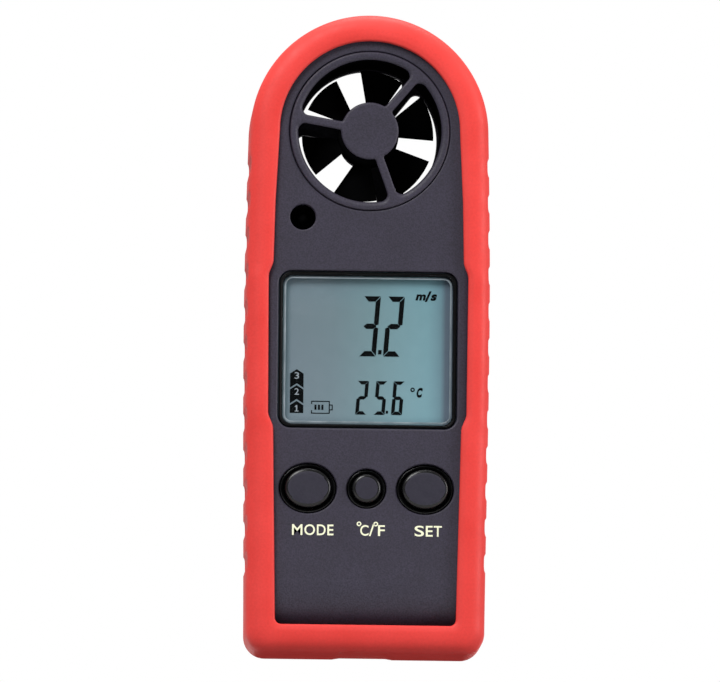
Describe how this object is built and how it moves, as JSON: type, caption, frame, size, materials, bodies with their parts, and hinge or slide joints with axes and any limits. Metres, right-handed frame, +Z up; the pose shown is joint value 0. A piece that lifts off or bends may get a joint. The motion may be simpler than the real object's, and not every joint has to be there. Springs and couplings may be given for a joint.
{
  "type": "vane anemometer",
  "caption": "Pocket vane anemometer: slim upright case with a guarded fan at the top, a display, push buttons and a ribbed rubber boot.",
  "frame": {"origin": "centre of the boot's foot, on the surface that the upright instrument stands on", "axes": "+Z up towards the fan, the display faces -Y, +X to the display's right as it is read, +Y out of the back"},
  "size_m": [0.0436, 0.019, 0.1146],
  "materials": {
    "boot_rubber": "matte moulded rubber, bright red",
    "case_plastic": "finely textured matte, bluish dark grey",
    "black_plastic": "black satin",
    "gloss_black": "glossy black",
    "button_rubber": "soft matte dark grey",
    "clear_window": "clear, polished",
    "lcd_glass": "grey-teal reflective display",
    "white_plastic": "white diffuser",
    "zebra_rubber": "striped conductive rubber",
    "circuit_board": "green solder mask",
    "steel": "plated steel",
    "brass": "turned brass"
  },
  "bodies": {
    "body": {"protective_boot": "boot_rubber", "front_case": "case_plastic", "rear_case": "case_plastic", "front_guard": "case_plastic", "rear_guard": "case_plastic", "fan_duct": "black_plastic", "front_bearing": "brass", "rear_bearing": "brass", "speed_sensor": "black_plastic", "sensor_sleeve": "black_plastic", "thermistor": "black_plastic", "window_gasket": "gloss_black", "lcd_window": "clear_window", "lcd_panel": "lcd_glass", "lcd_frame": "black_plastic", "backlight_panel": "white_plastic", "zebra_connector": "zebra_rubber", "keypad_mat": "gloss_black", "mode_dome": "steel", "unit_dome": "steel", "set_dome": "steel", "main_board": "circuit_board", "controller_chip": "black_plastic", "clock_crystal": "steel", "battery_holder": "black_plastic", "coin_cell": "steel", "positive_contact": "steel", "negative_contact": "steel", "case_screw_upper_left": "steel", "case_screw_upper_right": "steel", "case_screw_lower_left": "steel", "case_screw_lower_right": "steel", "board_screw_upper_left": "steel", "board_screw_upper_right": "steel", "board_screw_lower_left": "steel", "board_screw_lower_right": "steel"},
    "rotor": {"impeller": "black_plastic", "impeller_shaft": "steel", "rotor_magnet": "steel"},
    "mode_key": {"mode_button": "button_rubber"},
    "unit_key": {"unit_button": "button_rubber"},
    "set_key": {"set_button": "button_rubber"},
    "door": {"battery_door": "case_plastic"}
  },
  "joints": [
    {"name": "impeller_spin", "type": "hinge", "parent": "body", "child": "rotor", "pos_m": [0, 0, 0.0936], "axis": [0, 1, 0], "continuous": true},
    {"name": "mode_press", "type": "slide", "parent": "body", "child": "mode_key", "axis": [0, 1, 0], "range_m": [0, 0.0005], "stiffness_N_per_m": 200},
    {"name": "unit_press", "type": "slide", "parent": "body", "child": "unit_key", "axis": [0, 1, 0], "range_m": [0, 0.0005], "stiffness_N_per_m": 200},
    {"name": "set_press", "type": "slide", "parent": "body", "child": "set_key", "axis": [0, 1, 0], "range_m": [0, 0.0005], "stiffness_N_per_m": 200},
    {"name": "battery_door_hinge", "type": "hinge", "parent": "body", "child": "door", "pos_m": [0, 0.0079, 0.037], "axis": [1, 0, 0], "range_deg": [0, 75]}
  ]
}
